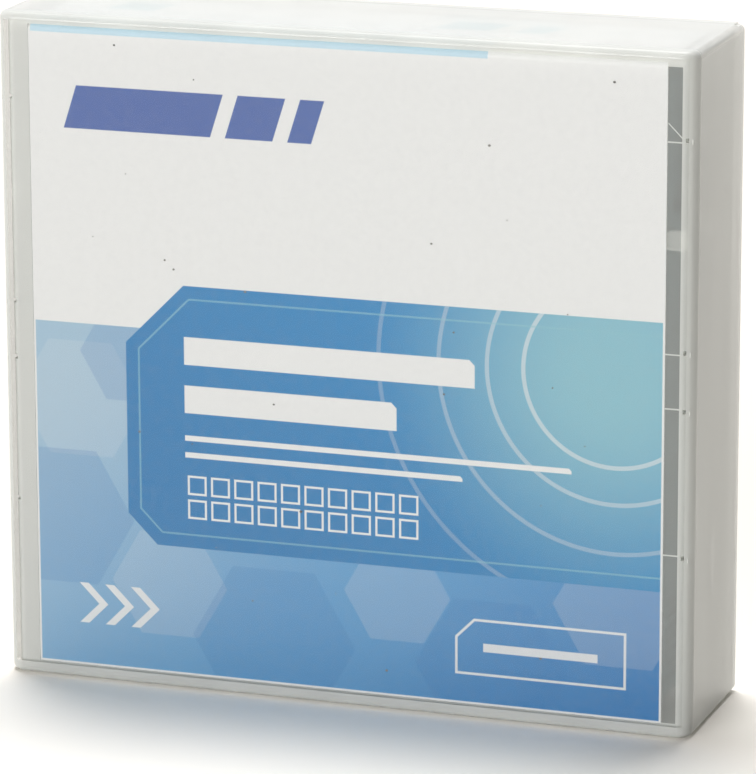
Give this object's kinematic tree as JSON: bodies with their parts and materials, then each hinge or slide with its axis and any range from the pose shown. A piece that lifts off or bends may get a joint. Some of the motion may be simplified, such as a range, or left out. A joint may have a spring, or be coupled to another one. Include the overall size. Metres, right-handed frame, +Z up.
{
  "type": "tape cleaning cartridge in its case",
  "caption": "Half-inch linear tape cleaning cartridge standing in a hinged case of milky plastic, with a blank-lettered inlay card behind the front panel.",
  "frame": {"origin": "middle of the case's footprint, on the surface that it stands on", "axes": "+X to the right along the width, -Y towards the front panel, +Z up to the hinge side"},
  "size_m": [0.116, 0.0276, 0.11],
  "materials": {
    "case_plastic": "milky polypropylene, slightly clear",
    "inlay_card": "coated card, printed",
    "shell_plastic": "textured teal-grey moulding",
    "hub_plastic": "pale moulded plastic",
    "brake_plastic": "pale moulded plastic",
    "tab_plastic": "red moulded plastic",
    "clip_plastic": "dark moulded plastic",
    "steel": "bright steel",
    "spring_steel": "drawn steel wire",
    "tape_film": "dark polished tape",
    "label_paper": "blank coated label",
    "board": "green circuit board"
  },
  "bodies": {
    "case_base": {"case_tray": "case_plastic", "hinge_film": "case_plastic", "upper_shell": "shell_plastic", "lower_shell": "shell_plastic", "shell_screws": "steel", "edge_label": "label_paper", "memory_chip": "board", "leader_pin": "steel", "leader_clip": "clip_plastic", "pin_springs": "spring_steel", "leader_tape": "tape_film", "brake_spring": "spring_steel", "door_spring": "spring_steel"},
    "lid": {"case_lid": "case_plastic", "insert_card": "inlay_card"},
    "reel": {"reel_hub": "hub_plastic", "upper_flange": "hub_plastic", "tape_pack": "tape_film", "clutch_plate": "steel"},
    "pad": {"release_pad": "brake_plastic"},
    "brake": {"brake_button": "brake_plastic"},
    "door": {"access_door": "shell_plastic"},
    "protect_tab": {"write_protect_tab": "tab_plastic"}
  },
  "joints": [
    {"name": "lid_hinge", "type": "hinge", "parent": "case_base", "child": "lid", "pos_m": [0, 0.0125, 0.10985], "axis": [-1, 0, 0], "range_deg": [0, 180], "deforming": ["hinge_film"]},
    {"name": "reel_spin", "type": "hinge", "parent": "case_base", "child": "reel", "pos_m": [0, 0, 0.0549], "axis": [0, -1, 0], "continuous": true},
    {"name": "brake_lift", "type": "slide", "parent": "case_base", "child": "brake", "axis": [0, -1, 0], "range_m": [0, 0.0019], "stiffness_N_per_m": 300, "springref_m": -0.005, "deforming": ["brake_spring"]},
    {"name": "pad_lift", "type": "slide", "parent": "reel", "child": "pad", "axis": [0, -1, 0], "range_m": [0, 0.0019]},
    {"name": "door_slide", "type": "slide", "parent": "case_base", "child": "door", "axis": [0, 0, -1], "range_m": [0, 0.0185], "stiffness_N_per_m": 12, "springref_m": -0.02, "deforming": ["door_spring"]},
    {"name": "protect_slide", "type": "slide", "parent": "case_base", "child": "protect_tab", "axis": [1, 0, 0], "range_m": [0, 0.0038]}
  ],
  "couplings": [
    {"joint": "pad_lift", "follows": "brake_lift", "ratio": 1}
  ]
}
